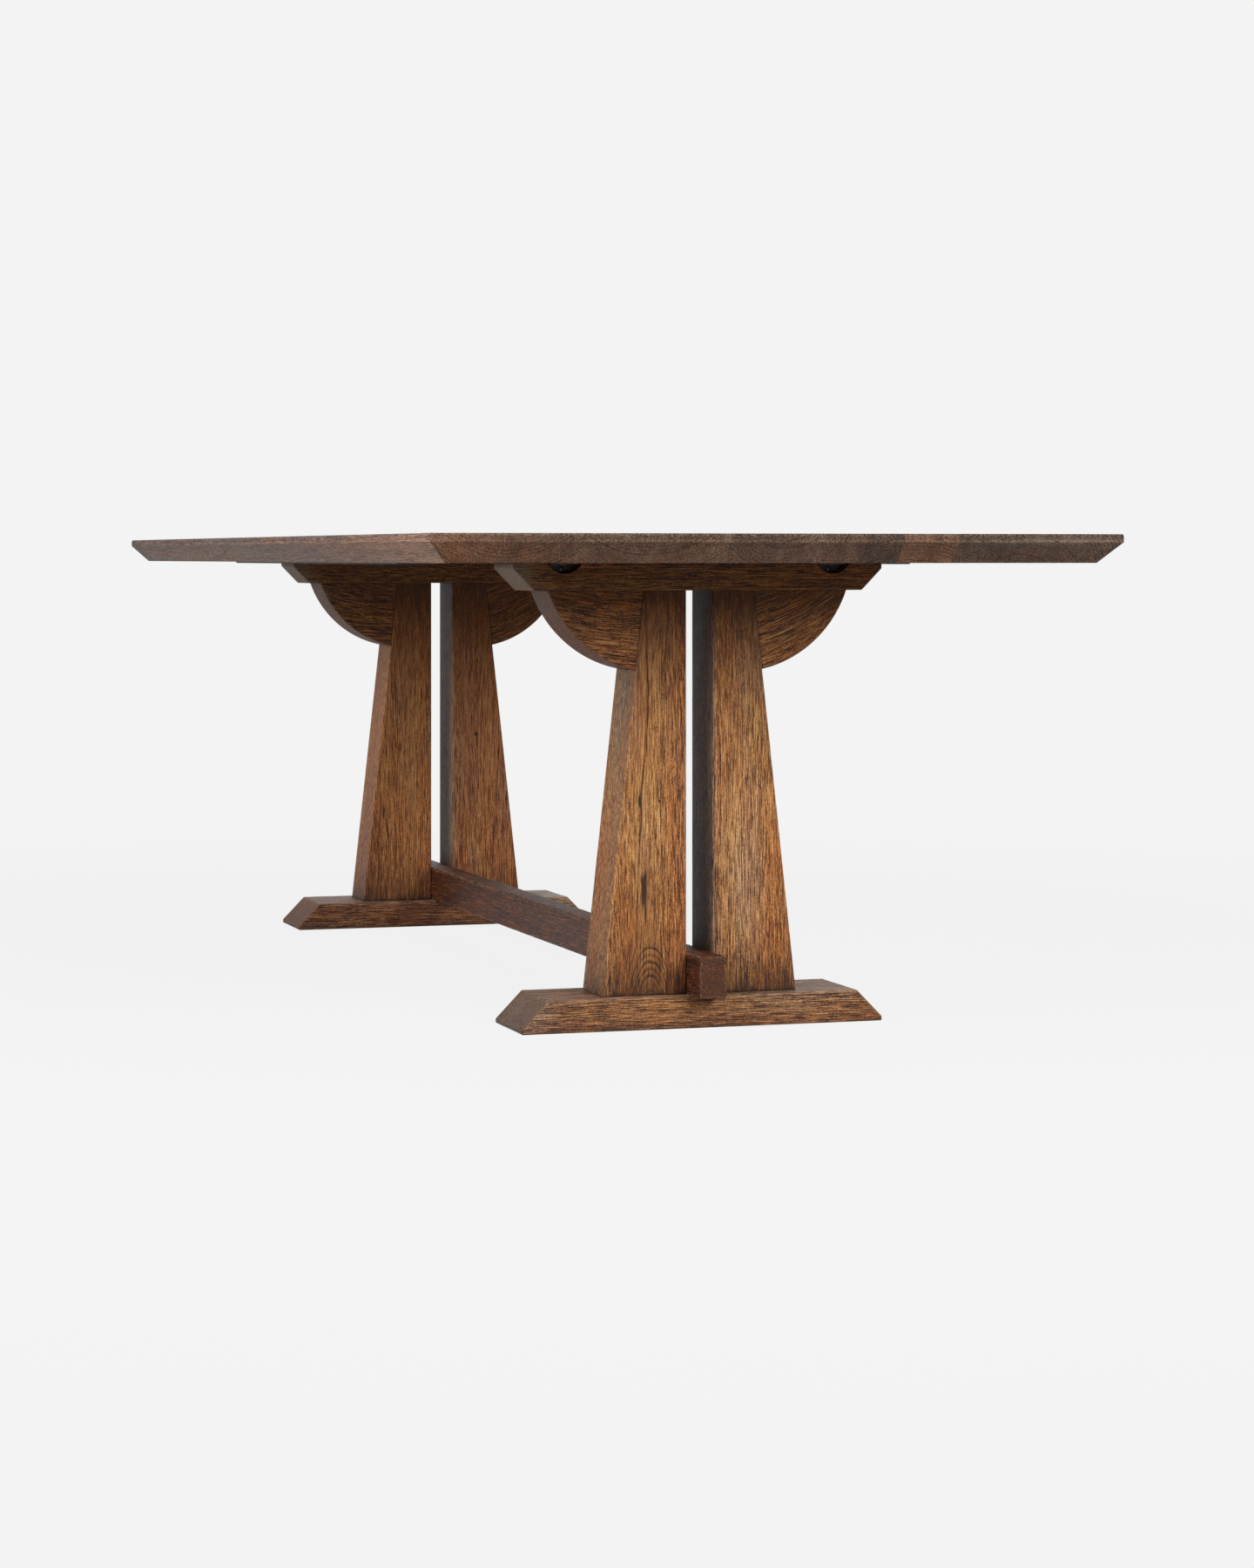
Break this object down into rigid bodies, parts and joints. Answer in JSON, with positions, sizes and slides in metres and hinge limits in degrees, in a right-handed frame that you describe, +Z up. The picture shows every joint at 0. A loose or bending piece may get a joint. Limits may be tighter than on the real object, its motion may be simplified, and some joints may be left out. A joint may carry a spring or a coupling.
{
  "type": "trestle dining table",
  "caption": "Rectangular wooden dining table with a bevelled top on two trestles of paired tapered posts, joined by a low stretcher beam that passes through both.",
  "frame": {"origin": "on the floor, under the middle of the top", "axes": "+X along the table, +Y across it, +Z up"},
  "size_m": [2.438, 1.07, 0.762],
  "materials": {
    "top_oak": "dark stained, satin",
    "frame_oak": "dark stained, satin",
    "tenon_beech": "plain",
    "dark_steel": "black, matt",
    "plated_steel": "zinc plated",
    "insert_brass": "plain"
  },
  "bodies": {
    "root": {"top_board_one": "top_oak", "top_board_two": "top_oak", "top_board_three": "top_oak", "top_board_four": "top_oak", "top_board_five": "top_oak", "top_board_six": "top_oak", "foot_near": "frame_oak", "bearer_near": "frame_oak", "post_near_left": "frame_oak", "wing_near_left": "frame_oak", "post_near_right": "frame_oak", "wing_near_right": "frame_oak", "slip_tenons_near": "tenon_beech", "brackets_near": "dark_steel", "bolt_near": "dark_steel", "bracket_screws_near": "plated_steel", "insert_near": "insert_brass", "foot_far": "frame_oak", "bearer_far": "frame_oak", "post_far_left": "frame_oak", "wing_far_left": "frame_oak", "post_far_right": "frame_oak", "wing_far_right": "frame_oak", "slip_tenons_far": "tenon_beech", "brackets_far": "dark_steel", "bolt_far": "dark_steel", "bracket_screws_far": "plated_steel", "insert_far": "insert_brass", "stretcher": "frame_oak", "rail_left": "dark_steel", "rail_screws_left": "plated_steel", "rail_right": "dark_steel", "rail_screws_right": "plated_steel"}
  },
  "joints": []
}
